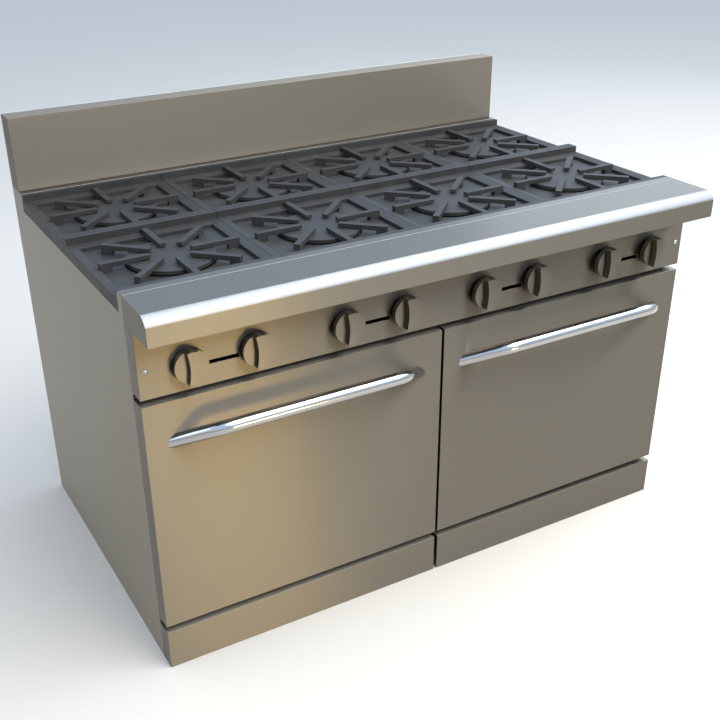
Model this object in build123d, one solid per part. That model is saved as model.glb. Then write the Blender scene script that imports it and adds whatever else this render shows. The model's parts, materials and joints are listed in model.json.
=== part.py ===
from build123d import *
import math
import os

# Commercial gas range with eight open burners and two ovens. Millimetres, +Z up.
# The model is laid out with X across, Y = 0 on the front face of the doors and Z = 0 on the floor.
# Every part is moved at the end so that the origin is at the centre of the base.

# Overall sizes. The width follows from the grates, and the cooktop height from what is stacked under it.
grates_across = 4
grates_deep = 2
grate_pitch = 304.8           # width of one grate place
grate_depth = 304.8
body_depth = 704.0            # front frame to back panel
face_depth = 39.4             # how far doors, kick plates and control panel stand in front of the body
guard_height = 152.5          # backguard above the cooktop
guard_depth = 52.4
sheet = 1.5                   # stainless and steel sheet
seam = 0.3                    # clearance where two fixed sheets lie side by side
running_gap = 0.05            # radial clearance of a turning pin

# Heights of the front
kick_height = 84.6
kick_gap = 14.4
kick_half_gap = 3.8           # middle of the range to a kick plate
kick_floor_gap = 0.5
door_height = 471.8
panel_gap = 13.0
panel_height = 125.4
door_side_gap = 5.6           # gap between the two doors

# Landing ledge
ledge_reach = 70.1
ledge_front_height = 35.5
ledge_bevel_depth = 18.4
ledge_bevel_drop = 16.3
ledge_bulge = 2.6

# Cooktop and grates
rail_depth = 20.6             # strip between ledge and grates
grate_clearance = 0.5
grate_seat_drop = 37.5        # cooktop to the flange the grates rest on
side_flange = 18.0
shelf_depth = 15.0            # shelves under the front and rear edges of the grates
bearer_half = 14.0
bearer_web = 16.0             # burner bearer to the web of the grate bearer
box_floor_drop = 2.0          # door top to the floor of the burner box
box_front_gap = 2.0
box_rear_gap = 17.5           # wall of the burner box to the rear grates' edge
box_divider = 4.0             # how far the divider rises past the panel's lower edge
grate_frame_drop = 13.8       # cooktop to the top of the grate frame
grate_slope = 3.6
grate_bar = 12.5
grate_strip = 18.8
grate_floor_drop = 24.5
grate_floor_thickness = 6.0
grate_floor_overlap = 1.0
finger_drop = 6.0
finger_width = 12.5
finger_tip_radius = 40.0
finger_tip_depth = 6.6
finger_root_depth = 9.6
finger_foot = 21.0
finger_diagonal_reach = 136.0

# Burners
cap_radius = 82.4
cap_thickness = 8.0
cap_drop = 15.0               # cooktop to the top of the cap
cap_hole_gap = 1.6
cap_finger_gap = 0.3          # least room between cap and fingers
head_radius = 68.0
head_height = 28.0
head_wall = 18.0
neck_radius = 18.0
port_count = 24
port_width = 3.0
head_floor = 8.0
port_drop = 4.0
flame_bore = 11.0
venturi_radius = 15.0
venturi_drop = 51.5           # grate seat to the axis of the venturi
venturi_front = 122.0         # from the door fronts
venturi_mouth_radius = 19.0
venturi_mouth_half = 6.0
venturi_clearance = 4.0       # tube to the bearer above it
burner_bearer_half = 32.0

# Controls
knob_spacing = 125.0
knob_height = 49.7            # above the lower edge of the control panel
knob_radius = 31.0
knob_skirt = 10.6
knob_grip = 10.0
knob_standoff = 7.0
knob_bore_depth = 15.0
grip_waist = 6.6
grip_end = 10.45
stem_radius = 4.0
stem_flat = 1.2
stem_hole_gap = 2.0
slot_length = 62.0
slot_height = 7.2
slot_below_knob = 8.2
screw_radius = 4.8
screw_head_height = 2.4
screw_head_round = 1.6
screw_shank_radius = 2.0
screw_length = 12.0
screw_hole_gap = 0.2
screw_inset = 15.0
screw_rise = 51.4
valve_back = 102.0
valve_front = 66.0
valve_half_width = 14.0
valve_rise = 16.0             # stem axis to the top of the valve body
stem_depth = 10.0             # how deep the stem reaches into the valve
riser_radius = 8.0
nozzle_radius = 5.0
manifold_radius = 13.35
manifold_centre_y = 84.0
manifold_drop = 27.3          # knob axis to manifold axis
manifold_end_gap = 14.0
gas_pipe_inset = 49.6         # side of the range to the gas pipe
gas_pipe_stub = 30.0
pipe_hole_gap = 3.0
pipe_nut_rim = 6.15           # pipe to the corners of the nut
pipe_nut_gap = 1.0            # back panel to the nut
pipe_nut_thickness = 8.0
elbow_wall = 4.0
elbow_rim = 3.0

# Ovens
oven_width = 508.0
oven_head = 49.8              # top of the door to the top of the oven
oven_depth = 580.0
oven_floor = 165.0
oven_base = 100.0
insulation = 25.0
deck_lip = 20.0
deck_gap = 2.0
deck_slots = 6
deck_slot_first = 60.0
deck_slot_pitch = 85.0
deck_slot_length = 60.0
deck_slot_inset = 14.0
deck_slot_width = 10.0
oven_burner_radius = 19.0
oven_burner_bore = 16.5
oven_port_radius = 1.6
oven_port_count = 18
oven_port_pitch = 26.0
oven_port_first = 50.0
oven_port_rise = 8.0
oven_burner_drop = 8.0        # below the middle of the space under the deck
oven_burner_front = 20.0
oven_burner_rear = 40.0
flue_width = 300.0
flue_height = 40.0
flue_thickness = 42.0
flue_wall = 1.0
flue_rear_gap = 3.0
flue_top_drop = 30.0          # top of the backguard to the top of the duct
flue_vent_rim = 5.0
rack_depth = 510.0
rack_wire = 3.0
rack_bars = 17
rack_level = 2
rack_thin_wire = 2.0
rack_cross_wire = 1.8
rack_crossings = (0.3, 0.7)   # shares of the rack's depth
rack_corner = 12.0
rack_wire_step = 0.8          # how far cross bars and thin wires lie below and above the rim
rack_rest_gap = 0.3
rack_rear_gap = 8.0
guide_levels = 4
guide_shelf = 10.0
guide_gap = 1.5
guide_sheet = 1.2
guide_first = 60.0            # oven floor to the lowest rack ledge
guide_wall_gap = 0.5          # liner wall to the guide
guide_front = 30.0            # oven mouth to the front of the guides
guide_rear = 4.0
guide_low = 20.0              # oven floor to the guides' lower edge
guide_high = 40.0

# Doors
hinge_inset = 40.0
hinge_y = 20.0
hinge_rise = 9.0              # door's lower edge to hinge axis
hinge_pin_radius = 5.0
hinge_bracket_thickness = 5.0
hinge_bracket_wall = 3.0
hinge_strap = 4.5
hinge_side_gap = 1.0
hinge_strap_reach = 80.0      # hinge axis to the upper end of the strap
hinge_strap_low = 2.5         # door's lower edge to the strap
hinge_pin_reach = 6.0
hinge_slot_half = 5.0
hinge_notch_half = 10.0
hinge_notch_rise = 14.0
hinge_slot_gap = 3.0
door_inner_y = 30.0
door_return_end = 38.2
door_plug_reach = 23.5
door_plug_gap = 10.0
gasket_width = 9.0
gasket_offset = 6.0           # edge of the oven mouth to the seal
handle_radius = 12.7
handle_half_span = 246.3
handle_flare = 62.0
handle_standoff = 57.0
handle_rise = 33.0
handle_bend = 50.0
handle_foot_drop = 76.8       # door top to the handle's feet

# Crumb trays
tray_height = 10.0
tray_clearance = 0.8
tray_side_gap = 6.0
tray_front_gap = 3.0
tray_length = 600.0
tray_wall = 1.0

# Base
frame_leg = 40.0
frame_front_leg = 28.0
frame_thickness = 3.0
leg_plate = 90.0
leg_hole_radius = 6.5
leg_hole_inset = 60.0
vent_rows = 6
vent_first = 60.0             # floor to the lowest vent
vent_pitch = 22.0
vent_height = 6.0
vent_half_length = 90.0
guard_slots = 5
guard_slot_pitch = 60.0
guard_slot_half = 20.0
guard_slot_height = 12.0
guard_slot_drop = 33.0        # top of the backguard to its slots
control_hole_half = 220.0
dial_radius = 20.0
dial_clearance = 2.5          # front leg of the frame to the dial
dial_thickness = 14.0
dial_setback = 20.8           # front of the oven box to the back of the dial
dial_bar_half = 3.0
dial_bar_rise = 5.5
thermostat_half = 20.0
thermostat_half_width = 25.0
thermostat_bracket = 4.0
thermostat_depth = 50.0

# Worked-out positions
width = grates_across * grate_pitch
half = width / 2
oven_centres = {"left": -width / 4, "right": width / 4}
back = face_depth + body_depth
guard_front = back - guard_depth
door_bottom = kick_height + kick_gap
door_top = door_bottom + door_height
panel_bottom = door_top + panel_gap
panel_top = panel_bottom + panel_height
cooktop_height = panel_top + ledge_front_height + ledge_bevel_drop
guard_top = cooktop_height + guard_height
knob_z = panel_bottom + knob_height
rail_back = face_depth + rail_depth
grates_back = rail_back + grates_deep * grate_depth
seat_z = cooktop_height - grate_seat_drop
frame_top = cooktop_height - grate_frame_drop
grate_floor = cooktop_height - grate_floor_drop
cap_top = cooktop_height - cap_drop
head_top = cap_top - cap_thickness
venturi_height = seat_z - venturi_drop
bearer_z = venturi_height + venturi_radius + venturi_clearance
oven_top = door_top - oven_head
liner_front = face_depth + sheet + seam
box_floor = door_top - box_floor_drop
hinge_z = door_bottom + hinge_rise
gas_pipe_z = knob_z - manifold_drop
gas_pipe_x = half - gas_pipe_inset
hinge_bracket_radius = hinge_pin_radius + hinge_bracket_wall
dial_height = frame_front_leg + dial_clearance + dial_radius
dial_back = liner_front + dial_setback
origin_y = (back + gas_pipe_stub - ledge_reach) / 2
columns = [(i + 0.5) * grate_pitch - half for i in range(grates_across)]
rows = [rail_back + (i + 0.5) * grate_depth for i in range(grates_deep)]
knob_places = [x + side * knob_spacing / 2 for x in columns for side in (-1, 1)]


def block(x0, x1, y0, y1, z0, z1):
    """A box between two corners."""
    middle = Pos((x0 + x1) / 2, (y0 + y1) / 2, (z0 + z1) / 2)
    return middle * Box(x1 - x0, y1 - y0, z1 - z0)


def rod(start, end, radius):
    """A round bar from one point to another."""
    way = Vector(*end) - Vector(*start)
    place = Plane(origin=start, z_dir=way)
    return place * Cylinder(radius, way.length, align=(Align.CENTER, Align.CENTER, Align.MIN))


def side_prism(points, x0, x1):
    """An outline in Y and Z, pulled along X from x0 to x1."""
    outline = Plane.YZ.offset(x0) * make_face(Polyline(*points, close=True))
    return extrude(outline, x1 - x0)


def pan(x0, x1, y0, y1, z0, z1, wall):
    """A pan of sheet, closed at the front and on its four edges, open at the back."""
    outer = block(x0, x1, y0, y1, z0, z1)
    return outer - block(x0 + wall, x1 - wall, y0 + wall, y1 + wall, z0 + wall, z1 - wall)


def save(name, *shapes):
    """Moves the solids of a part to the shared origin and writes them as one node."""
    solids = [solid for shape in shapes for solid in shape.solids()]
    placed = [Pos(0, -origin_y, 0) * solid for solid in solids]
    kept = placed[0] if len(placed) == 1 else Compound(children=placed)
    export_step(kept, f"parts/{name}.step")
    print(name, len(placed))


# Body

def side_panel(side):
    """Side sheet with the notch that the grates lie in, and a flange turned in under them."""
    outline = [
        (face_depth, 0),
        (back, 0),
        (back, cooktop_height),
        (grates_back + grate_clearance, cooktop_height),
        (grates_back + grate_clearance, seat_z),
        (rail_back, seat_z),
        (rail_back, cooktop_height),
        (face_depth, cooktop_height),
    ]
    skin = side_prism(outline, half - sheet, half)
    flange = block(half - side_flange, half - sheet, rail_back + shelf_depth + 1,
                   grates_back - shelf_depth - 1, seat_z - sheet, seat_z)
    panel = skin + flange
    return panel if side > 0 else mirror(panel, Plane.YZ)


def base_frame():
    """Angle frame on the floor, with a cross member and four drilled leg plates."""
    inner = half - sheet - seam
    front = face_depth + sheet + seam
    rear = back - sheet - seam
    ring = block(-inner, inner, front, rear, 0, frame_leg)
    ring -= block(-inner + frame_thickness, inner - frame_thickness,
                  front + frame_thickness, rear - frame_thickness, -1, frame_leg + 1)
    ring -= block(-inner - 1, inner + 1, front - 1, front + frame_thickness, frame_front_leg, frame_leg + 1)
    ring += block(-frame_thickness / 2, frame_thickness / 2, front, rear, 0, frame_front_leg)
    for x in (-1, 1):
        for y in (front, rear):
            inward = 1 if y == front else -1
            y_ends = sorted((y, y + inward * leg_plate))
            x_ends = sorted((x * inner, x * (inner - leg_plate)))
            ring += block(*x_ends, *y_ends, 0, frame_thickness + 1)
            hole_x = x * (inner - leg_hole_inset)
            hole_y = y + inward * leg_hole_inset
            ring -= rod((hole_x, hole_y, -1), (hole_x, hole_y, frame_thickness + 2), leg_hole_radius)
    return ring


def back_panel():
    """Rear sheet up to the cooktop, with a hole for the gas pipe and rows of vents."""
    inner = half - sheet - seam
    top = cooktop_height - sheet - 1
    panel = block(-inner, inner, back - sheet, back, 0, top)
    panel -= rod((gas_pipe_x, back - 10, gas_pipe_z), (gas_pipe_x, back + 10, gas_pipe_z),
                 manifold_radius + pipe_hole_gap)
    for x in oven_centres.values():
        for i in range(vent_rows):
            z = vent_first + i * vent_pitch
            panel -= block(x - vent_half_length, x + vent_half_length, back - 10, back + 10,
                           z, z + vent_height)
    return panel


def front_frame():
    """Front sheet round the oven mouths, with openings for the controls under each oven."""
    inner = half - sheet - seam
    frame = block(-inner, inner, face_depth, face_depth + sheet, 0, door_top - 4)
    for x in oven_centres.values():
        frame -= block(x - oven_width / 2, x + oven_width / 2, 0, 60, oven_floor, oven_top)
        frame -= block(x - control_hole_half, x + control_hole_half, 0, 60,
                       frame_front_leg, kick_height - 3)
    return frame


def front_rail():
    """Strip between ledge and grates, with a web and a shelf that carries the front grates."""
    inner = half - sheet - seam
    front = face_depth + seam
    rail = block(-inner, inner, front, rail_back, cooktop_height - sheet, cooktop_height)
    rail += block(-inner, inner, rail_back - sheet, rail_back, seat_z - sheet, cooktop_height)
    rail += block(-inner, inner, rail_back - sheet, rail_back + shelf_depth, seat_z - sheet, seat_z)
    rail += block(-inner, inner, front, front + sheet, panel_top, cooktop_height)
    return rail


def rear_ledge():
    """Strip at the foot of the backguard, with a web and a shelf that carries the rear grates."""
    inner = half - sheet - seam
    front = grates_back + grate_clearance
    ledge = block(-inner, inner, front, guard_front, cooktop_height - sheet, cooktop_height)
    ledge += block(-inner, inner, front, front + sheet, seat_z - sheet, cooktop_height)
    ledge += block(-inner, inner, front - shelf_depth, front + sheet, seat_z - sheet, seat_z)
    return ledge


def ledge_outline(inset):
    """Outline of the landing ledge in Y and Z, drawn inside the outer skin by inset."""
    top = cooktop_height - inset
    nose = -ledge_reach + inset
    bevel_back = -ledge_reach + ledge_bevel_depth + inset * 0.4
    bevel_low = cooktop_height - ledge_bevel_drop - inset * 0.4
    low = cooktop_height - ledge_bevel_drop - ledge_front_height + inset
    rear = face_depth - inset
    chord = Vector(0, bevel_back - nose, top - bevel_low)
    middle = Vector(0, (bevel_back + nose) / 2, (top + bevel_low) / 2)
    bulge = middle + Vector(0, -chord.Z, chord.Y).normalized() * ledge_bulge
    edges = [
        Line((0, rear, low), (0, rear, top)),
        Line((0, rear, top), (0, bevel_back, top)),
        ThreePointArc((0, bevel_back, top), bulge, (0, nose, bevel_low)),
        Line((0, nose, bevel_low), (0, nose, low)),
        Line((0, nose, low), (0, rear, low)),
    ]
    return make_face(Wire(edges))


def landing_ledge():
    """Formed sheet ledge with a rounded nose, closed at its ends and open under the control panel."""
    outer = Pos(-half, 0, 0) * extrude(ledge_outline(0), width, dir=(1, 0, 0))
    inner = Pos(-half + sheet, 0, 0) * extrude(ledge_outline(sheet), width - 2 * sheet, dir=(1, 0, 0))
    mouth = block(-half + sheet, half - sheet, sheet, face_depth - sheet, panel_top - 5, panel_top + 10)
    return outer - inner - mouth


def control_panel():
    """Front sheet with its edges turned back, stem holes and lighting slots."""
    top = panel_top - seam
    panel = block(-half, half, 0, face_depth, panel_bottom, top)
    panel -= block(-half + sheet, half - sheet, sheet, face_depth + 1, panel_bottom + sheet, top + 1)
    for x in knob_places:
        panel -= rod((x, -1, knob_z), (x, 10, knob_z), stem_radius + stem_hole_gap)
    for side in (-1, 1):
        x = side * (half - screw_inset)
        z = panel_bottom + screw_rise
        panel -= rod((x, -1, z), (x, 10, z), screw_shank_radius + screw_hole_gap)
    z = knob_z - slot_below_knob
    for x in columns:
        panel -= block(x - slot_length / 2, x + slot_length / 2, -1, 10,
                       z - slot_height / 2, z + slot_height / 2)
    return panel


def backguard():
    """Front, top and ends of the backguard, open at the back."""
    outer = block(-half, half, guard_front, back - sheet - seam, cooktop_height + seam, guard_top)
    inner = block(-half + sheet, half - sheet, guard_front + sheet, back, cooktop_height, guard_top - sheet)
    return outer - inner


def guard_rear_cover():
    """Rear cover of the backguard, with the slots that the flue gas leaves by."""
    cover = block(-half, half, back - sheet, back, cooktop_height + seam, guard_top)
    slot_top = guard_top - guard_slot_drop
    for x in oven_centres.values():
        for i in range(guard_slots):
            centre = x + (i - (guard_slots - 1) / 2) * guard_slot_pitch
            cover -= block(centre - guard_slot_half, centre + guard_slot_half, back - 10, back + 10,
                           slot_top - guard_slot_height, slot_top)
    return cover


def burner_box():
    """Floor over the ovens, side walls, rear wall and the bearers that carry burners and grates."""
    inner = half - sheet - seam
    front = face_depth + sheet + box_front_gap
    rear = grates_back - grate_clearance - box_rear_gap
    web_low = bearer_z + bearer_web
    floor = block(-inner, inner, front, rear, box_floor, box_floor + sheet)
    wall_top = seat_z - sheet - 2
    box = floor + block(-inner, -inner + sheet, front, rear, box_floor, wall_top)
    box += block(inner - sheet, inner, front, rear, box_floor, wall_top)
    box += block(-inner, inner, rear - sheet, rear, box_floor, wall_top)
    divider_top = panel_bottom + box_divider
    box += block(-sheet, sheet, front, rear, box_floor, divider_top)
    middle = rail_back + grate_depth
    between = half - side_flange - seam
    box += block(-between, between, middle - bearer_half, middle + bearer_half, seat_z - sheet, seat_z)
    box += block(-between, between, middle - sheet / 2, middle + sheet / 2, web_low, seat_z)
    box += block(-inner, inner, middle - sheet / 2, middle + sheet / 2, web_low, seat_z - 3 * sheet)
    box -= rod((gas_pipe_x, rear - 10, gas_pipe_z), (gas_pipe_x, rear + 10, gas_pipe_z),
               manifold_radius + pipe_hole_gap)
    for y in rows:
        box += block(-inner, inner, y - burner_bearer_half, y + burner_bearer_half,
                     bearer_z, bearer_z + sheet)
    for x in columns:
        for y in rows:
            box -= rod((x, y, bearer_z - 5), (x, y, bearer_z + 5), neck_radius + 2)
    return box


# Cooktop

def grate_finger(foot_end, root, foot):
    """One finger along +X: level top, tapered underside and a foot down to the grate floor."""
    top = cooktop_height - finger_drop
    low = grate_floor - 1
    points = [
        (finger_tip_radius, top),
        (root, top),
        (root, low),
        (foot_end - foot, low),
        (foot_end - foot, top - finger_root_depth),
        (finger_tip_radius, top - finger_tip_depth),
    ]
    face = Plane.XZ.offset(-finger_width / 2) * make_face(Polyline(*points, close=True))
    return extrude(face, finger_width)


def grate():
    """Cast grate: a sloped frame, raised bars front and rear, a floor with a burner hole, eight fingers."""
    half_x = grate_pitch / 2 - grate_clearance
    half_y = grate_depth / 2 - grate_clearance
    open_x = half_x - grate_strip
    open_y = half_y - grate_bar - grate_strip + 0.8
    bar_edge = half_y - grate_bar
    casting = block(-half_x, half_x, -half_y, half_y, seat_z + grate_clearance, frame_top)
    low_face = Plane.XY.offset(frame_top - grate_slope) * Rectangle(2 * open_x, 2 * open_y)
    high_face = Plane.XY.offset(frame_top) * Rectangle(2 * half_x, 2 * bar_edge)
    casting -= loft([low_face, high_face])
    casting -= block(-open_x, open_x, -open_y, open_y, seat_z - 1, frame_top)
    floor_x = open_x + grate_floor_overlap
    floor_y = open_y + grate_floor_overlap
    casting += block(-floor_x, floor_x, -floor_y, floor_y, grate_floor - grate_floor_thickness, grate_floor)
    casting += block(-half_x, half_x, -half_y, -bar_edge, frame_top - 2, cooktop_height - 0.4)
    casting += block(-half_x, half_x, bar_edge, half_y, frame_top - 2, cooktop_height - 0.4)
    side_finger = grate_finger(open_x, open_x + 1, finger_foot)
    end_finger = grate_finger(open_y, bar_edge + 1, finger_foot)
    corner_finger = grate_finger(finger_diagonal_reach, finger_diagonal_reach, finger_foot)
    corner_angle = math.degrees(math.atan2(open_y, open_x)) + 2.0
    for turn in (0, 180):
        casting += Rot(0, 0, turn) * side_finger
        casting += Rot(0, 0, turn + 90) * end_finger
        casting += Rot(0, 0, turn + corner_angle) * corner_finger
        casting += Rot(0, 0, turn - corner_angle) * corner_finger
    casting -= rod((0, 0, seat_z), (0, 0, cap_top + cap_finger_gap), cap_radius + cap_hole_gap)
    return casting


def burner_cap():
    """Round lift-off cap with a spigot that sits in the burner head."""
    cap = rod((0, 0, head_top), (0, 0, cap_top), cap_radius)
    cap = chamfer(cap.edges().filter_by(GeomType.CIRCLE).sort_by(Axis.Z)[-1], 1.0)
    return cap + rod((0, 0, head_top - 8), (0, 0, head_top), head_radius - head_wall)


def burner(x, y, inlet_x):
    """Cast burner: a head with ports round its rim, a neck and a slanted venturi tube."""
    low = head_top - head_height
    head = rod((x, y, low), (x, y, head_top - seam), head_radius)
    head -= rod((x, y, low + head_floor), (x, y, head_top), head_radius - head_wall + running_gap)
    port = block(head_radius - head_wall - 1, head_radius + 1,
                 -port_width / 2, port_width / 2, -port_drop, 1)
    for i in range(port_count):
        head -= Pos(x, y, head_top - seam) * Rot(0, 0, i * 360 / port_count) * port
    neck = rod((x, y, venturi_height), (x, y, low + 1), neck_radius)
    tube = rod((inlet_x, venturi_front, venturi_height), (x, y, venturi_height), venturi_radius)
    mouth_start = venturi_front - venturi_mouth_half
    mouth_end = venturi_front + venturi_mouth_half
    mouth = rod((inlet_x, mouth_start, venturi_height),
                (inlet_x, mouth_end, venturi_height), venturi_mouth_radius)
    bore = rod((inlet_x, mouth_start - 4, venturi_height),
               (inlet_x, mouth_end - 3, venturi_height), flame_bore)
    shell = head + neck + tube + mouth - bore
    return shell - rod((x, y, venturi_height), (x, y, head_top), flame_bore)


def all_burners():
    """Front burners feed from the right-hand knob of each pair, rear burners from the left-hand one."""
    made = []
    for x in columns:
        for row, side in ((0, 1), (1, -1)):
            made.append(burner(x, rows[row], x + side * knob_spacing / 2))
    return made


# Gas and controls

def gas_manifold():
    """Pipe along the front, an elbow and the run back to a nut and the inlet behind the range."""
    end = half - sheet - seam - manifold_end_gap
    front_run = rod((-end, manifold_centre_y, gas_pipe_z),
                    (gas_pipe_x + manifold_radius, manifold_centre_y, gas_pipe_z), manifold_radius)
    rear_run = rod((gas_pipe_x, manifold_centre_y - manifold_radius, gas_pipe_z),
                   (gas_pipe_x, back + gas_pipe_stub, gas_pipe_z), manifold_radius)
    rise = manifold_radius + elbow_rim
    corner = rod((gas_pipe_x, manifold_centre_y, gas_pipe_z - rise),
                 (gas_pipe_x, manifold_centre_y, gas_pipe_z + rise), manifold_radius + elbow_wall)
    nut_start = back + pipe_nut_gap
    nut_place = Plane(origin=(gas_pipe_x, nut_start, gas_pipe_z), z_dir=(0, 1, 0))
    nut = extrude(nut_place * RegularPolygon(manifold_radius + pipe_nut_rim, 6), pipe_nut_thickness)
    return front_run + rear_run + corner + nut


def gas_valve(x):
    """Valve body on the manifold with a bore for its stem and a nozzle into the venturi."""
    high = knob_z + valve_rise
    body = block(x - valve_half_width, x + valve_half_width, valve_front, valve_back, gas_pipe_z, high)
    body -= rod((x - 50, manifold_centre_y, gas_pipe_z), (x + 50, manifold_centre_y, gas_pipe_z),
                manifold_radius + running_gap)
    riser_y = valve_back - riser_radius - 1
    body += rod((x, riser_y, high - 1), (x, riser_y, venturi_height + riser_radius), riser_radius)
    body += rod((x, riser_y, venturi_height), (x, venturi_front - 4, venturi_height), nozzle_radius)
    stem_hole_end = valve_front + stem_depth + 2
    return body - rod((x, valve_front - 1, knob_z), (x, stem_hole_end, knob_z), stem_radius + running_gap)


def stem_shape(start, end, radius, flat):
    """A round stem along Y with one flat on top."""
    stem = rod((0, start, 0), (0, end, 0), radius)
    return stem - block(-radius, radius, start - 1, end + 1, radius - flat, radius + 1)


def knob():
    """Round skirted knob with a waisted grip and a bore with a flat, and its valve stem."""
    front = -knob_standoff - knob_skirt
    body = rod((0, -knob_standoff, 0), (0, front - knob_grip, 0), knob_radius)
    rise = math.sqrt(knob_radius**2 - grip_end**2)
    sagitta = grip_end - grip_waist
    hollow = (rise**2 + sagitta**2) / (2 * sagitta)
    for side in (-1, 1):
        centre = side * (grip_waist + hollow)
        body -= rod((centre, front, 0), (centre, front - knob_grip - 5, 0), hollow)
    body -= stem_shape(-knob_bore_depth, 1.0, stem_radius + running_gap, stem_flat)
    stem = rod((0, 0, 0), (0, valve_front + stem_depth, 0), stem_radius)
    stem += stem_shape(1 - knob_bore_depth, 0.0, stem_radius, stem_flat + running_gap)
    return body, stem


def panel_screws():
    """Dome-headed screws at the ends of the control panel."""
    made = []
    for side in (-1, 1):
        x = side * (half - screw_inset)
        z = panel_bottom + screw_rise
        head = rod((x, 0, z), (x, -screw_head_height, z), screw_radius)
        rim = head.edges().filter_by(GeomType.CIRCLE).sort_by(Axis.Y)[0]
        shank = rod((x, -1, z), (x, screw_length, z), screw_shank_radius)
        made.append(fillet(rim, screw_head_round) + shank)
    return made


# Ovens

def oven_liner(x):
    """Five-sided oven box, open at the front."""
    rear = liner_front + oven_depth
    outer = block(x - oven_width / 2 - sheet, x + oven_width / 2 + sheet,
                  liner_front, rear + sheet, oven_base - sheet, oven_top + sheet)
    inner = block(x - oven_width / 2, x + oven_width / 2, liner_front - 1, rear, oven_base, oven_top)
    vent_half = flue_width / 2 - flue_vent_rim
    vent = block(x - vent_half, x + vent_half, rear - 5, rear + 5,
                 oven_top - flue_height + flue_vent_rim, oven_top - flue_vent_rim)
    return outer - inner - vent


def oven_insulation(x):
    """Blanket round the oven box."""
    rear = liner_front + oven_depth + sheet + seam
    edge = oven_width / 2 + sheet + seam
    low = oven_base - sheet - seam
    high = oven_top + sheet + seam
    outer = block(x - edge - insulation, x + edge + insulation, liner_front,
                  rear + insulation, low - insulation, high + insulation)
    inner = block(x - edge, x + edge, liner_front - 1, rear, low, high)
    flue_way = block(x - flue_width / 2 - 2, x + flue_width / 2 + 2, rear - 5, rear + insulation + 5,
                     oven_top - flue_height - 2, oven_top + 2)
    return outer - inner - flue_way


def oven_deck(x):
    """Oven floor plate with heat slots along both sides."""
    front = liner_front + deck_gap
    rear = liner_front + oven_depth - deck_gap
    edge = oven_width / 2 - deck_gap
    deck = block(x - edge, x + edge, front, rear, oven_floor - sheet, oven_floor)
    deck += block(x - edge, x + edge, front, front + sheet, oven_floor - deck_lip, oven_floor)
    for side in (-1, 1):
        outer = edge - deck_slot_inset
        x_ends = sorted((x + side * outer, x + side * (outer - deck_slot_width)))
        for i in range(deck_slots):
            y = liner_front + deck_slot_first + i * deck_slot_pitch
            deck -= block(*x_ends, y, y + deck_slot_length, oven_floor - 5, oven_floor + 5)
    return deck


def oven_burner(x):
    """Straight tube burner under the oven floor, with ports along both sides."""
    height = (oven_base + oven_floor) / 2 - oven_burner_drop
    start = liner_front + oven_burner_front
    end = liner_front + oven_depth - oven_burner_rear
    tube = rod((x, start, height), (x, end, height), oven_burner_radius)
    tube -= rod((x, start - 1, height), (x, end - 4, height), oven_burner_bore)
    z = height + oven_port_rise
    for i in range(oven_port_count):
        y = start + oven_port_first + i * oven_port_pitch
        tube -= rod((x - 30, y, z), (x + 30, y, z), oven_port_radius)
    return tube


def rack_guides(x):
    """Sheet guides on both oven walls with ledges at each rack level."""
    made = []
    front = liner_front + guide_front
    rear = liner_front + oven_depth - guide_rear
    for side in (-1, 1):
        wall = x + side * (oven_width / 2 - guide_wall_gap)
        thickness = sorted((wall, wall - side * guide_sheet))
        shelf = sorted((wall, wall - side * guide_shelf))
        guide = block(*thickness, front, rear, oven_floor + guide_low, oven_top - guide_high)
        for i in range(guide_levels):
            z = guide_level(i)
            guide += block(*shelf, front, rear, z - guide_sheet, z)
        made.append(guide)
    return made


def guide_level(i):
    """Height of the top of one rack ledge."""
    return oven_floor + guide_first + i * (oven_top - oven_floor - 2 * guide_first) / (guide_levels - 1)


def oven_rack(x):
    """Wire rack: a rim of thick wire, two cross bars and thin wires from front to rear."""
    edge = oven_width / 2 - guide_wall_gap - guide_sheet - guide_gap - rack_wire
    z = guide_level(rack_level) + rack_wire + rack_rest_gap
    rear = liner_front + oven_depth - rack_rear_gap - rack_wire
    front = rear - rack_depth
    rim = Pos(x, (front + rear) / 2, z) * RectangleRounded(2 * edge, rack_depth, rack_corner).wire()
    rack = sweep(Plane(origin=rim @ 0, z_dir=rim % 0) * Circle(rack_wire), path=rim)
    low, high = z - rack_wire_step, z + rack_wire_step
    for share in rack_crossings:
        y = front + share * rack_depth
        rack += rod((x - edge, y, low), (x + edge, y, low), rack_cross_wire)
    for i in range(rack_bars):
        wire_x = x + (i - (rack_bars - 1) / 2) * 2 * edge / (rack_bars + 1)
        rack += rod((wire_x, front, high), (wire_x, rear, high), rack_thin_wire)
    return rack


def oven_flue(x):
    """Duct from the top of the oven's back wall up into the backguard."""
    start = liner_front + oven_depth + sheet + seam
    rear = back - sheet - flue_rear_gap
    low = oven_top - flue_height
    high = guard_top - sheet - flue_top_drop
    riser_front = rear - flue_thickness
    x0, x1 = x - flue_width / 2, x + flue_width / 2
    wall = flue_wall
    duct = block(x0, x1, start, rear, low, oven_top)
    duct += block(x0, x1, riser_front, rear, low, high)
    duct -= block(x0 + wall, x1 - wall, start - 1, rear - wall, low + wall, oven_top - wall)
    duct -= block(x0 + wall, x1 - wall, riser_front + wall, rear - wall, low + wall, high + 1)
    return duct


# Doors

def hinge_places(x):
    """The two hinge positions across one door."""
    reach = width / 4 - door_side_gap / 2 - hinge_inset
    return [x - reach, x + reach]


def door_span(side):
    """Left and right edges of one door."""
    inner = door_side_gap / 2
    return (-half, -inner) if side == "left" else (inner, half)


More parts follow.
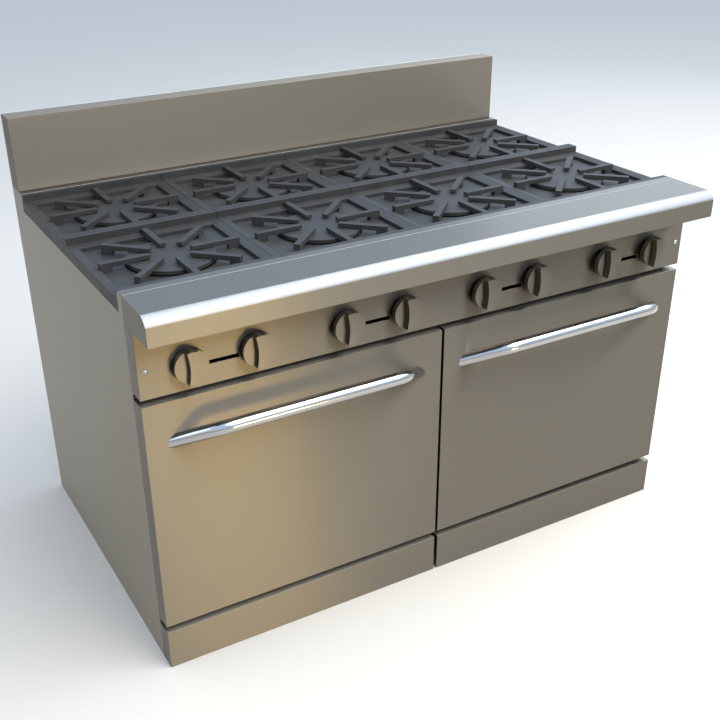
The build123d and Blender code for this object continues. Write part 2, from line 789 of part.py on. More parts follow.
def door_outer(side):
    """Outer door pan with its edges turned back and slots for the hinge brackets."""
    x0, x1 = door_span(side)
    door = pan(x0, x1, 0, door_return_end, door_bottom, door_top, sheet)
    door -= block(x0 - 1, x1 + 1, door_return_end - 2, door_return_end + 1,
                  door_bottom - 1, door_bottom + 3)
    for x in hinge_places(oven_centres[side]):
        slot_front = hinge_y - hinge_bracket_radius - hinge_slot_gap
        door -= block(x - hinge_slot_half, x + hinge_slot_half, slot_front, 50,
                      door_bottom - 1, door_bottom + 5)
    return door


def door_inner(side):
    """Inner door panel with a raised plug that fills the oven mouth."""
    x0, x1 = door_span(side)
    x0, x1 = x0 + sheet + seam, x1 - sheet - seam
    low, high = door_bottom + sheet + seam, door_top - sheet - seam
    panel = block(x0, x1, door_inner_y, door_inner_y + sheet, low, high)
    centre = oven_centres[side]
    plug_edge = oven_width / 2 - door_plug_gap
    plug_low, plug_high = oven_floor + door_plug_gap, oven_top - door_plug_gap
    plug_end = door_inner_y + sheet + door_plug_reach
    panel += block(centre - plug_edge, centre + plug_edge, door_inner_y, plug_end, plug_low, plug_high)
    inside = plug_edge - sheet
    panel -= block(centre - inside, centre + inside, door_inner_y - 1, plug_end - sheet,
                   plug_low + sheet, plug_high - sheet)
    for x in hinge_places(centre):
        panel -= block(x - hinge_notch_half, x + hinge_notch_half, door_inner_y - 1, door_inner_y + 5,
                       low - 1, hinge_z + hinge_notch_rise)
    return panel


def door_gasket(side):
    """Flat ring of seal between the inner panel and the front frame."""
    centre = oven_centres[side]
    start = door_inner_y + sheet
    end = face_depth - seam
    edge = oven_width / 2 + gasket_offset
    low, high = oven_floor - gasket_offset, oven_top + gasket_offset
    ring = block(centre - edge - gasket_width, centre + edge + gasket_width, start, end,
                 low - gasket_width, high + gasket_width)
    return ring - block(centre - edge, centre + edge, start - 1, end + 1, low, high)


def door_handle(side):
    """Bent tube handle: two feet on the door, flared legs and a straight bar."""
    centre = oven_centres[side]
    foot_z = door_top - handle_foot_drop
    bar_half = handle_half_span - handle_flare
    bar_y, bar_z = -handle_standoff, foot_z + handle_rise
    feet = [(centre + s * handle_half_span, 0.0, foot_z) for s in (-1, 1)]
    beyond = 0.2
    into = [(p[0] + s * handle_flare * beyond, beyond * handle_standoff, foot_z - beyond * handle_rise)
            for p, s in zip(feet, (-1, 1))]
    corners = [(centre + s * bar_half, bar_y, bar_z) for s in (-1, 1)]
    route = FilletPolyline(into[0], corners[0], corners[1], into[1], radius=handle_bend)
    section = Plane(origin=route @ 0, z_dir=route % 0) * Circle(handle_radius)
    tube = sweep(section, path=route)
    return tube - block(centre - 400, centre + 400, -seam / 3, 100, foot_z - 100, foot_z + 100)


def hinge_arms(side):
    """Straps inside the door, each with the pin that turns in its bracket."""
    made = []
    for x in hinge_places(oven_centres[side]):
        strap_x = x + hinge_bracket_thickness / 2 + hinge_side_gap
        strap = block(strap_x, strap_x + hinge_strap, sheet + seam, door_inner_y - seam,
                      door_bottom + hinge_strap_low, hinge_z + hinge_strap_reach)
        pin_end = strap_x + 2
        pin = rod((x - hinge_pin_reach, hinge_y, hinge_z), (pin_end, hinge_y, hinge_z), hinge_pin_radius)
        made.append(strap + pin)
    return made


def hinge_brackets():
    """Plates on the front frame with the bores that the door pins turn in."""
    made = []
    for centre in oven_centres.values():
        for x in hinge_places(centre):
            x0, x1 = x - hinge_bracket_thickness / 2, x + hinge_bracket_thickness / 2
            plate = block(x0, x1, hinge_y, face_depth - 0.1, hinge_z - hinge_bracket_radius,
                          hinge_z + hinge_bracket_radius)
            plate += rod((x0, hinge_y, hinge_z), (x1, hinge_y, hinge_z), hinge_bracket_radius)
            bore = hinge_pin_radius + running_gap
            plate -= rod((x0 - 1, hinge_y, hinge_z), (x1 + 1, hinge_y, hinge_z), bore)
            made.append(plate)
    return made


def kick_plate(side):
    """Lift-off plate under a door, its edges turned back to the body."""
    x0, x1 = (-half, -kick_half_gap) if side == "left" else (kick_half_gap, half)
    return pan(x0, x1, 0, door_return_end, kick_floor_gap, kick_height, sheet)


def crumb_tray(side):
    """Shallow tray over the ovens that slides out between panel and doors."""
    gap = tray_side_gap
    x0, x1 = (-half + gap, -gap) if side == "left" else (gap, half - gap)
    low = door_top + tray_clearance
    front = face_depth + sheet + tray_front_gap
    rear = front + tray_length
    tray = block(x0, x1, front, rear, low, low + tray_height)
    return tray - block(x0 + tray_wall, x1 - tray_wall, front + tray_wall, rear - tray_wall,
                        low + tray_wall, low + tray_height + 1)


def thermostat(x):
    """Thermostat body behind the kick plate, with a spindle for its dial."""
    front = dial_back + 4
    low = dial_height - thermostat_half
    x0, x1 = x - thermostat_half_width, x + thermostat_half_width
    body = block(x0, x1, front, front + thermostat_depth, low, dial_height + thermostat_half)
    spindle_end = dial_back - dial_thickness + 2
    spindle = rod((x, spindle_end, dial_height), (x, front + 1, dial_height), stem_radius)
    bracket_front = front + 14
    bracket = block(x0, x1, bracket_front, bracket_front + thermostat_bracket, 0, low)
    return body + spindle + bracket


def thermostat_dial(x):
    """Dial with a finger bar, turning on the thermostat spindle."""
    front = dial_back - dial_thickness
    grip = dial_radius - 1
    dial = rod((x, front, dial_height), (x, dial_back, dial_height), dial_radius)
    dial += block(x - dial_bar_half, x + dial_bar_half, front - dial_bar_rise, front + 1,
                  dial_height - grip, dial_height + grip)
    bore = stem_radius + running_gap
    return dial - rod((x, front + 1.5, dial_height), (x, dial_back + 8, dial_height), bore)


def build_all():
    """Builds and writes every part."""
    os.makedirs("parts", exist_ok=True)
    save("side_panel_left", side_panel(-1))
    save("side_panel_right", side_panel(1))
    save("base_frame", base_frame())
    save("back_panel", back_panel())
    save("front_frame", front_frame())
    save("front_rail", front_rail())
    save("rear_ledge", rear_ledge())
    save("landing_ledge", landing_ledge())
    save("control_panel", control_panel())
    save("backguard", backguard())
    save("backguard_rear_cover", guard_rear_cover())
    save("burner_box", burner_box())
    save("gas_manifold", gas_manifold())
    save("gas_valves", *[gas_valve(x) for x in knob_places])
    save("top_burners", *all_burners())
    cap = burner_cap()
    save("burner_caps", *[Pos(x, y, 0) * cap for x in columns for y in rows])
    save("panel_screws", *panel_screws())
    save("hinge_brackets", *hinge_brackets())
    save("oven_insulation", *[oven_insulation(x) for x in oven_centres.values()])
    save("oven_decks", *[oven_deck(x) for x in oven_centres.values()])
    save("oven_burners", *[oven_burner(x) for x in oven_centres.values()])
    save("oven_flues", *[oven_flue(x) for x in oven_centres.values()])
    save("thermostats", *[thermostat(x) for x in oven_centres.values()])
    guides = [guide for x in oven_centres.values() for guide in rack_guides(x)]
    save("rack_guides", *guides)
    knob_and_stem = knob()
    for number, x in enumerate(knob_places, start=1):
        save(f"knob_{number}", *[Pos(x, 0, knob_z) * piece for piece in knob_and_stem])
    one_grate = grate()
    for row, y in zip(("front", "rear"), rows):
        for number, x in enumerate(columns, start=1):
            save(f"grate_{row}_{number}", Pos(x, y, 0) * one_grate)
    for side, x in oven_centres.items():
        save(f"oven_liner_{side}", oven_liner(x))
        save(f"oven_rack_{side}", oven_rack(x))
        save(f"door_outer_{side}", door_outer(side))
        save(f"door_inner_{side}", door_inner(side))
        save(f"door_gasket_{side}", door_gasket(side))
        save(f"door_handle_{side}", door_handle(side))
        save(f"door_hinge_arms_{side}", *hinge_arms(side))
        save(f"kick_plate_{side}", kick_plate(side))
        save(f"crumb_tray_{side}", crumb_tray(side))
        save(f"thermostat_dial_{side}", thermostat_dial(x))


build_all()
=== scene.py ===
import bpy
import bmesh
import json
import math
from mathutils import Matrix, Vector


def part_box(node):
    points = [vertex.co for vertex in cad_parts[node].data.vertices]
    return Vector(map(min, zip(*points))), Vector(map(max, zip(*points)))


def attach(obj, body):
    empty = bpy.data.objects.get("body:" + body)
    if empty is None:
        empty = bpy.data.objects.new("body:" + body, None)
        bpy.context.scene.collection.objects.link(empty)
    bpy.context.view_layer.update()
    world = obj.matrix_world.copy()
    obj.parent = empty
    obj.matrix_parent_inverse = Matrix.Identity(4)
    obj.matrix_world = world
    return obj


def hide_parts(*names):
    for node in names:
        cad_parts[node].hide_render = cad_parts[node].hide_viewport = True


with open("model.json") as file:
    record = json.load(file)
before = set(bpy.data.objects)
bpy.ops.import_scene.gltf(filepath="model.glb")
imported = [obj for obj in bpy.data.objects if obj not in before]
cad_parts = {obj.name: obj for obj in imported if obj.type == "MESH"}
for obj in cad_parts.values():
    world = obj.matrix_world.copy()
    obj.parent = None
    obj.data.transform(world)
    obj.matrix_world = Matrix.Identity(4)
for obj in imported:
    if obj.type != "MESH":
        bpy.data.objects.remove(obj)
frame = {"nodes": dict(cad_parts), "record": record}
nodes = frame["nodes"]
scene = bpy.context.scene
mm = 0.001


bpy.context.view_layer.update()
bodies = frame["record"]["behaviour"]["bodies"]
bodyOf = {node: body for body, members in bodies.items() for node in members}
slotOf = {part["node"]: part["material_slot"] for part in frame["record"]["subparts"]}
print("frame loaded:", len(nodes), "parts")

view = {
    "place": (-1.0555, -1.84285, 1.4107),
    "turnDeg": -28.856,       # standing to the left of the middle
    "downDeg": 28.053,
    "rollDeg": -0.932,
    "lensMm": 52.03,
    "shift": (0.0309, 0.0420),
}


def makeCamera():
    turn, down, roll = (math.radians(view[key]) for key in ("turnDeg", "downDeg", "rollDeg"))
    back = Vector((math.sin(turn) * math.cos(down), -math.cos(turn) * math.cos(down), math.sin(down)))
    level = (-back).cross(Vector((0, 0, 1))).normalized()
    upright = back.cross(level)
    right = math.cos(roll) * level + math.sin(roll) * upright
    up = math.cos(roll) * upright - math.sin(roll) * level
    data = bpy.data.cameras.new("camera")
    data.lens = view["lensMm"]
    data.shift_x, data.shift_y = view["shift"]
    camera = bpy.data.objects.new("camera", data)
    facing = Matrix((right, up, back)).transposed().to_4x4()
    camera.matrix_world = Matrix.Translation(view["place"]) @ facing
    scene.collection.objects.link(camera)
    scene.camera = camera


lights = {
    "goldFront": {"place": (0.24, -2.6, 0.18), "aim": (-0.45, -0.35, 0.3), "size": (0.72, 0.34),
                  "watts": 15, "colour": (1.0, 0.73, 0.24)},
    "softTop": {"place": (1.6, -1.4, 3.3), "aim": (0.8, -0.4, 0.6), "size": (5.8, 2.8),
                "watts": 400, "colour": (0.86, 0.93, 1.0)},
    "coolBack": {"place": (4.1, 3.0, 2.0), "aim": (0, 0, 0.7), "size": (2.6, 1.8),
                 "watts": 13, "colour": (0.80, 0.90, 1.0)},
    "leftFill": {"place": (-3.6, 0.6, 1.7), "aim": (0, 0, 0.4), "size": (2.4, 2.2),
                 "watts": 24, "colour": (1.0, 0.97, 0.92)},
}


def makeLights():
    for name, spec in lights.items():
        data = bpy.data.lights.new(name, "AREA")
        data.shape = "RECTANGLE"
        data.size, data.size_y = spec["size"]
        data.energy = spec["watts"]
        data.color = spec["colour"]
        lamp = bpy.data.objects.new(name, data)
        lamp.location = spec["place"]
        way = Vector(spec["aim"]) - Vector(spec["place"])
        lamp.rotation_euler = way.to_track_quat("-Z", "Y").to_euler()
        lamp.visible_camera = False
        scene.collection.objects.link(lamp)


room = {"floorReach": 40.0, "floorColour": (0.50, 0.43, 0.355), "floorRoughness": 1.0, "floorShine": 0.15,
        "skyLow": (0.80, 0.80, 0.80), "skyHigh": (0.92, 1.24, 1.72), "skyStrength": 1.0, "skyRise": 2.4}


def addNode(tree, kind, inputs=None, **settings):
    node = tree.nodes.new(kind)
    for key, value in settings.items():
        setattr(node, key, value)
    for key, value in (inputs or {}).items():
        node.inputs[key].default_value = value
    return node


def makeRoom():
    reach = room["floorReach"]
    mesh = bpy.data.meshes.new("floor")
    corners = [(-reach, -reach, 0), (reach, -reach, 0), (reach, reach, 0), (-reach, reach, 0)]
    mesh.from_pydata(corners, [], [(0, 1, 2, 3)])
    floor = bpy.data.objects.new("floor", mesh)
    scene.collection.objects.link(floor)
    paint = bpy.data.materials.new("floorPaint")
    paint.use_nodes = True
    shader = paint.node_tree.nodes["Principled BSDF"]
    shader.inputs["Base Color"].default_value = (*room["floorColour"], 1)
    shader.inputs["Roughness"].default_value = room["floorRoughness"]
    shader.inputs["Specular IOR Level"].default_value = room["floorShine"]
    mesh.materials.append(paint)
    world = bpy.data.worlds.new("room")
    scene.world = world
    world.use_nodes = True
    tree = world.node_tree
    sky = tree.nodes["Background"]
    sky.inputs["Strength"].default_value = room["skyStrength"]
    coords = addNode(tree, "ShaderNodeTexCoord")
    height = addNode(tree, "ShaderNodeSeparateXYZ")
    mix = addNode(tree, "ShaderNodeMix", data_type="RGBA")
    mix.inputs["A"].default_value = (*room["skyLow"], 1)
    mix.inputs["B"].default_value = (*room["skyHigh"], 1)
    rise = addNode(tree, "ShaderNodeMath", {1: room["skyRise"]}, operation="MULTIPLY", use_clamp=True)
    tree.links.new(coords.outputs["Generated"], height.inputs[0])
    tree.links.new(height.outputs["Z"], rise.inputs[0])
    tree.links.new(rise.outputs[0], mix.inputs["Factor"])
    tree.links.new(mix.outputs["Result"], sky.inputs["Color"])


makeCamera()
makeLights()
makeRoom()
scene.view_settings.view_transform = "Standard"
print("camera, lights and floor placed")


def startMaterial(name, colour, metallic, roughness, **fixed):
    material = bpy.data.materials.new(name)
    material.use_nodes = True
    tree = material.node_tree
    shader = tree.nodes["Principled BSDF"]
    shader.inputs["Base Color"].default_value = (*colour, 1)
    shader.inputs["Metallic"].default_value = metallic
    shader.inputs["Roughness"].default_value = roughness
    for key, value in fixed.items():
        shader.inputs[key.replace("_", " ")].default_value = value
    return material, tree, shader


def objectNoise(tree, scale, stretch=(1, 1, 1), detail=3.0, rough=0.6):
    # noise fixed to the piece, from 0 to 1
    coords = addNode(tree, "ShaderNodeTexCoord")
    mapping = addNode(tree, "ShaderNodeMapping", {"Scale": stretch})
    noise = addNode(tree, "ShaderNodeTexNoise", {"Scale": scale, "Detail": detail, "Roughness": rough})
    tree.links.new(coords.outputs["Object"], mapping.inputs["Vector"])
    tree.links.new(mapping.outputs["Vector"], noise.inputs["Vector"])
    return noise.outputs["Fac"]


def spread(tree, value, low, high, fromLow=0.3, fromHigh=0.7):
    # most of a noise lies between 0.3 and 0.7
    change = addNode(tree, "ShaderNodeMapRange", {"From Min": fromLow, "From Max": fromHigh,
                                                  "To Min": low, "To Max": high})
    tree.links.new(value, change.inputs["Value"])
    return change.outputs["Result"]


def blendColours(tree, value, colourA, colourB):
    mix = addNode(tree, "ShaderNodeMix", data_type="RGBA")
    mix.inputs["A"].default_value = (*colourA, 1)
    mix.inputs["B"].default_value = (*colourB, 1)
    tree.links.new(value, mix.inputs["Factor"])
    return mix.outputs["Result"]


def addBump(tree, shader, height, strength, distance):
    bump = addNode(tree, "ShaderNodeBump", {"Strength": strength, "Distance": distance})
    tree.links.new(height, bump.inputs["Height"])
    tree.links.new(bump.outputs["Normal"], shader.inputs["Normal"])


def shade(colour, factor):
    return tuple(min(1.0, part * factor) for part in colour)


steel = {"colour": (0.162, 0.138, 0.104), "roughness": 0.42, "grain": 0.02, "noiseScale": 100.0,
         "finePerScale": 9.0, "longPerScale": 0.06, "anisotropy": 0.985, "cloud": 0.02, "cloudScale": 3.0,
         "lineShare": 0.6, "cloudShare": 0.4}


def brushedSteel(name, along, across, colour=None, roughness=None, anisotropy=None):
    # the grain runs along one axis, and highlights spread across it
    colour = colour or steel["colour"]
    roughness = roughness or steel["roughness"]
    material, tree, shader = startMaterial(name, colour, 1.0, roughness,
                                           Anisotropic=anisotropy or steel["anisotropy"])
    stretch = [steel["finePerScale"]] * 3
    stretch["XYZ".index(along)] = steel["longPerScale"]
    lines = objectNoise(tree, steel["noiseScale"], stretch, 2.0)
    clouds = objectNoise(tree, steel["cloudScale"], (1, 1, 1), 2.0)
    mixed = addNode(tree, "ShaderNodeMath", {1: steel["lineShare"]}, operation="MULTIPLY_ADD")
    tree.links.new(lines, mixed.inputs[0])
    cloudPart = addNode(tree, "ShaderNodeMath", {1: steel["cloudShare"]}, operation="MULTIPLY")
    tree.links.new(clouds, cloudPart.inputs[0])
    tree.links.new(cloudPart.outputs[0], mixed.inputs[2])
    low, high = shade(colour, 1 - steel["cloud"]), shade(colour, 1 + steel["cloud"])
    blended = blendColours(tree, spread(tree, mixed.outputs[0], 0, 1), low, high)
    tree.links.new(blended, shader.inputs["Base Color"])
    grain = steel["grain"]
    tree.links.new(spread(tree, lines, roughness - grain, roughness + grain), shader.inputs["Roughness"])
    direction = addNode(tree, "ShaderNodeCombineXYZ", {"X": across[0], "Y": across[1], "Z": across[2]})
    tree.links.new(direction.outputs[0], shader.inputs["Tangent"])
    return material


def clouded(tree, shader, value, colour, dark, light):
    # the piece's own colour, darker and lighter by these factors
    blended = blendColours(tree, spread(tree, value, 0, 1), shade(colour, dark), shade(colour, light))
    tree.links.new(blended, shader.inputs["Base Color"])


metal = {"smoother": 0.85, "rougher": 1.15, "bumpFiner": 6, "bumpDepth": 0.3 * mm}


def plainMetal(name, colour, roughness, variation=0.06, scale=40.0, bump=0.0):
    material, tree, shader = startMaterial(name, colour, 1.0, roughness)
    clouds = objectNoise(tree, scale)
    clouded(tree, shader, clouds, colour, 1 - variation, 1 + variation)
    patches = spread(tree, clouds, roughness * metal["smoother"], roughness * metal["rougher"])
    tree.links.new(patches, shader.inputs["Roughness"])
    if bump:
        addBump(tree, shader, objectNoise(tree, scale * metal["bumpFiner"]), bump, metal["bumpDepth"])
    return material


zincCoat = {"colour": (0.50, 0.51, 0.515), "roughness": 0.42, "crystalScale": 110.0, "dark": 0.82,
            "light": 1.12, "smooth": 0.34, "rough": 0.52}


def zincSheet(name):
    # zinc crystals a few millimetres across
    base = zincCoat["colour"]
    material, tree, shader = startMaterial(name, base, 1.0, zincCoat["roughness"])
    coords = addNode(tree, "ShaderNodeTexCoord")
    crystals = addNode(tree, "ShaderNodeTexVoronoi", {"Scale": zincCoat["crystalScale"]})
    tree.links.new(coords.outputs["Object"], crystals.inputs["Vector"])
    grey = addNode(tree, "ShaderNodeSeparateColor")
    tree.links.new(crystals.outputs["Color"], grey.inputs[0])
    dark, light = shade(base, zincCoat["dark"]), shade(base, zincCoat["light"])
    tree.links.new(blendColours(tree, grey.outputs[0], dark, light), shader.inputs["Base Color"])
    shine = spread(tree, grey.outputs[1], zincCoat["smooth"], zincCoat["rough"], 0, 1)
    tree.links.new(shine, shader.inputs["Roughness"])
    return material


casting = {"grainScale": 900.0, "grainDepth": 0.25 * mm, "grainBump": 0.55, "patchScale": 28.0,
           "dark": 0.84, "light": 1.14, "patchRoughness": 0.08}


def castIron(name, colour, roughness):
    material, tree, shader = startMaterial(name, colour, 0.0, roughness, Specular_IOR_Level=0.40)
    fine = objectNoise(tree, casting["grainScale"], detail=4.0)
    broad = objectNoise(tree, casting["patchScale"])
    clouded(tree, shader, broad, colour, casting["dark"], casting["light"])
    change = casting["patchRoughness"]
    tree.links.new(spread(tree, broad, roughness - change, roughness + change), shader.inputs["Roughness"])
    addBump(tree, shader, fine, casting["grainBump"], casting["grainDepth"])
    return material


enamel = {"roughness": 0.16, "coat": 0.4, "coatRoughness": 0.08, "speckScale": 260.0, "speckCore": 0.10,
          "speckRim": 0.24, "waveScale": 60.0, "waveBump": 0.12, "waveDepth": 0.2 * mm}


def porcelain(name, colour, speck):
    # enamel with pale specks
    material, tree, shader = startMaterial(name, colour, 0.0, enamel["roughness"], Coat_Weight=enamel["coat"],
                                           Coat_Roughness=enamel["coatRoughness"])
    coords = addNode(tree, "ShaderNodeTexCoord")
    dots = addNode(tree, "ShaderNodeTexVoronoi", {"Scale": enamel["speckScale"]})
    tree.links.new(coords.outputs["Object"], dots.inputs["Vector"])
    near = spread(tree, dots.outputs["Distance"], 1, 0, enamel["speckCore"], enamel["speckRim"])
    tree.links.new(blendColours(tree, near, colour, speck), shader.inputs["Base Color"])
    addBump(tree, shader, objectNoise(tree, enamel["waveScale"]), enamel["waveBump"], enamel["waveDepth"])
    return material


strand = {"roughness": 0.95, "sheen": 0.3, "detail": 6.0, "detailRough": 0.75, "dark": 0.7, "light": 1.2,
          "depth": 1.2 * mm}


def fibre(name, colour, scale, stretch=(1, 1, 1), bump=0.9):
    material, tree, shader = startMaterial(name, colour, 0.0, strand["roughness"],
                                           Sheen_Weight=strand["sheen"])
    strands = objectNoise(tree, scale, stretch, strand["detail"], strand["detailRough"])
    clouded(tree, shader, strands, colour, strand["dark"], strand["light"])
    addBump(tree, shader, strands, bump, strand["depth"])
    return material


plastic = {"roughness": 0.42, "patchScale": 30.0, "smooth": 0.36, "rough": 0.5, "grainScale": 1500.0,
           "grainBump": 0.25, "grainDepth": 0.1 * mm}


def mouldedPlastic(name, colour):
    material, tree, shader = startMaterial(name, colour, 0.0, plastic["roughness"])
    patches = spread(tree, objectNoise(tree, plastic["patchScale"]), plastic["smooth"], plastic["rough"])
    tree.links.new(patches, shader.inputs["Roughness"])
    grain = objectNoise(tree, plastic["grainScale"])
    addBump(tree, shader, grain, plastic["grainBump"], plastic["grainDepth"])
    return material


# brushed steel: grain, highlight, colour, roughness, anisotropy
# other metals: colour, roughness, change of colour, patch scale, bump
finishes = {
    "frontSteel": brushedSteel("frontSteel", "X", (0, 1, 1)),
    # side panels: the grain runs along Y, and the lighter, warmer colour is painted light on the sides
    "sideSteelPaintedLight": brushedSteel("sideSteelPaintedLight", "Y", (0, 0, 1), (0.290, 0.240, 0.172)),
    # backguard: the front steel with a darker colour, which is painted shade
    "guardSteelPaintedShade": brushedSteel("guardSteelPaintedShade", "X", (0, 1, 1), (0.146, 0.122, 0.092)),
    # level tops of the ledge and rails: a smoother finish, and a lighter colour that is painted light on the
    # tops
    "ledgeTopSteelPaintedLight": brushedSteel("ledgeTopSteelPaintedLight", "X", (0, 1, 1), (0.176, 0.152, 0.118), 0.30, 0.6),
    # rounded nose of the ledge: a brighter, greyer colour that is a painted highlight
    "noseSteelPaintedHighlight": brushedSteel("noseSteelPaintedHighlight", "X", (0, 1, 1), (0.262, 0.252, 0.238)),
    "polished": plainMetal("polished", (0.42, 0.412, 0.40), 0.13, 0.02),
    "screwMetal": plainMetal("screwMetal", (0.42, 0.42, 0.42), 0.30, 0.05),
    "wireChrome": plainMetal("wireChrome", (0.72, 0.72, 0.73), 0.2, 0.05),
    "zinc": zincSheet("zinc"),
    "aluminised": plainMetal("aluminised", (0.60, 0.60, 0.59), 0.48, 0.10, 55.0, 0.15),
    "grateIron": castIron("grateIron", (0.0195, 0.0165, 0.0128), 0.60),
    "burnerIron": castIron("burnerIron", (0.0190, 0.0162, 0.0126), 0.62),
    "ovenEnamel": porcelain("ovenEnamel", (0.028, 0.034, 0.052), (0.35, 0.38, 0.44)),
    "blanket": fibre("blanket", (0.72, 0.66, 0.46), 90.0, (1, 1, 3)),
    "rope": fibre("rope", (0.10, 0.10, 0.105), 500.0, bump=0.5),
    "blackPipe": plainMetal("blackPipe", (0.045, 0.045, 0.048), 0.5, 0.15, 30.0, 0.3),
    "brass": plainMetal("brass", (0.62, 0.44, 0.20), 0.34, 0.10, 60.0, 0.12),
    "dieCast": plainMetal("dieCast", (0.55, 0.55, 0.56), 0.45, 0.08, 80.0, 0.2),
    "dialPlastic": mouldedPlastic("dialPlastic", (0.018, 0.018, 0.02)),
    "dialPrint": startMaterial("dialPrint", (0.8, 0.8, 0.78), 0.0, 0.5)[0],
}
print("finishes mixed:", len(finishes))


# edges that turn less than flatDeg go, and those that turn more than roundDeg are rounded
skin = {"mergeDistance": 0.002 * mm, "flatDeg": 0.4, "roundDeg": 35.0, "flatWeight": 90}


def newPiece(name, mesh, finish, body, slot=None, replaces=()):
    piece = bpy.data.objects.new(name, mesh)
    scene.collection.objects.link(piece)
    mesh.materials.clear()
    mesh.materials.append(finishes[finish])
    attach(piece, body)
    if replaces:
        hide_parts(*replaces)
    return piece


def smoothed(mesh, sharpDeg=40.0):
    mesh.shade_smooth()
    mesh.set_sharp_from_angle(angle=math.radians(sharpDeg))
    return mesh


def settleNormals(mesh, sharpDeg):
    # big flat faces keep their own normal, and rounded edges blend into them
    smoothed(mesh, sharpDeg)
    helper = bpy.data.objects.new("helper", mesh)
    scene.collection.objects.link(helper)
    weighted = helper.modifiers.new("weighted", "WEIGHTED_NORMAL")
    weighted.keep_sharp = True
    weighted.weight = skin["flatWeight"]
    settled = bpy.data.meshes.new_from_object(helper.evaluated_get(bpy.context.evaluated_depsgraph_get()))
    bpy.data.objects.remove(helper)
    return settled


def mergedCopy(node):
    work = bmesh.new()
    work.from_mesh(nodes[node].data)
    bmesh.ops.remove_doubles(work, verts=work.verts, dist=skin["mergeDistance"])
    flat = math.radians(skin["flatDeg"])
    bmesh.ops.dissolve_limit(work, angle_limit=flat, verts=work.verts, edges=work.edges)
    bmesh.ops.connect_verts_concave(work, faces=work.faces)    # no face runs round a hole
    return work


def roundEdges(work, width, steps):
    found = [edge for edge in work.edges
             if len(edge.link_faces) == 2 and edge.calc_face_angle(0) > math.radians(skin["roundDeg"])]
    if found:
        bmesh.ops.bevel(work, geom=found, offset=width, segments=steps, profile=0.5,
                        affect="EDGES", clamp_overlap=True, miter_outer="ARC")


def meshFrom(work, name):
    mesh = bpy.data.meshes.new(name)
    work.to_mesh(mesh)
    work.free()
    return mesh


numbers = range(1, 9)
sides = ("left", "right")
pairedSheets = (("door_outer", 0.6, "frontSteel"), ("kick_plate", 0.6, "frontSteel"),
                ("door_inner", 0.5, "ovenEnamel"), ("oven_liner", 0.4, "ovenEnamel"),
                ("crumb_tray", 0.3, "aluminised"), ("door_hinge_arms", 0.4, "zinc"))
# name: edge round in mm, steps, finish
dressed = {
    "side_panel_left": (0.5, 2, "sideSteelPaintedLight"), "side_panel_right": (0.5, 2, "sideSteelPaintedLight"),
    "front_rail": (0.45, 2, "ledgeTopSteelPaintedLight"), "rear_ledge": (0.45, 2, "ledgeTopSteelPaintedLight"),
    "landing_ledge": (0.6, 2, "ledgeTopSteelPaintedLight"), "control_panel": (0.6, 2, "frontSteel"),
    "backguard": (0.6, 2, "guardSteelPaintedShade"), "backguard_rear_cover": (0.4, 2, "zinc"),
    "back_panel": (0.4, 2, "zinc"), "front_frame": (0.4, 2, "zinc"),
    "burner_box": (0.3, 1, "aluminised"), "base_frame": (0.6, 2, "zinc"),
    "hinge_brackets": (0.3, 2, "zinc"), "oven_decks": (0.4, 2, "ovenEnamel"),
    "oven_flues": (0.2, 1, "aluminised"), "rack_guides": (0.3, 2, "wireChrome"),
    "gas_manifold": (0.5, 2, "blackPipe"), "gas_valves": (1.2, 2, "brass"),
    "thermostats": (1.2, 2, "dieCast"),
    "burner_caps": (0.8, 3, "burnerIron"), "top_burners": (0.0, 0, "burnerIron"),
    "oven_burners": (0.0, 0, "aluminised"),
    **{f"{part}_{side}": (width, 2, finish) for side in sides for part, width, finish in pairedSheets},
    **{f"grate_{row}_{number}": (1.0, 2, "grateIron")
       for row in ("front", "rear") for number in numbers[:4]},
    **{f"knob_{number}": (0.9, 3, "frontSteel") for number in numbers},
}
# face directions that pick the painted lit copies: level tops and the rounded nose
levelUp = 0.95    # upward part of a level face's normal
noseUp, noseOut = 0.2, -0.1    # the rounded nose looks up more than this, and forwards


def skinOf(node, width, steps, sharpDeg=40.0):
    # a finished copy of a node, with its edges rounded
    work = mergedCopy(node)
    if width:
        roundEdges(work, width, steps)
    return settleNormals(meshFrom(work, node), sharpDeg)


for node, (width, steps, finish) in dressed.items():
    mesh = skinOf(node, width * mm, steps)
    piece = newPiece(node + "_skin", mesh, finish, bodyOf[node], slotOf[node], [node])
    if finish == "ledgeTopSteelPaintedLight":
        # level faces get the ledge steel with painted light, the rounded nose gets a painted highlight, and
        # the other faces the front steel
        mesh.materials.append(finishes["frontSteel"])
        mesh.materials.append(finishes["noseSteelPaintedHighlight"])
        for face in mesh.polygons:
            turned = 2 if face.normal.z > noseUp and face.normal.y < noseOut else 1
            face.material_index = 0 if face.normal.z > levelUp else turned
print("parts dressed:", len(dressed))


# a Geometry Nodes tree is a chain of nodes between named inputs and one geometry output
def startTree(name, sockets):
    tree = bpy.data.node_groups.new(name, "GeometryNodeTree")
    tree.interface.new_socket("Geometry", in_out="INPUT", socket_type="NodeSocketGeometry")
    for label, kind in sockets.items():
        tree.interface.new_socket(label, in_out="INPUT", socket_type="NodeSocket" + kind)
    tree.interface.new_socket("Geometry", in_out="OUTPUT", socket_type="NodeSocketGeometry")
    return tree, tree.nodes.new("NodeGroupInput"), tree.nodes.new("NodeGroupOutput")


def endTree(tree, given, result, last):
    single = addNode(tree, "GeometryNodeRealizeInstances")
    paint = addNode(tree, "GeometryNodeSetMaterial")
    tree.links.new(last, single.inputs["Geometry"])
    tree.links.new(single.outputs["Geometry"], paint.inputs["Geometry"])
    tree.links.new(given.outputs["Finish"], paint.inputs["Material"])
    tree.links.new(paint.outputs["Geometry"], result.inputs["Geometry"])
    return tree


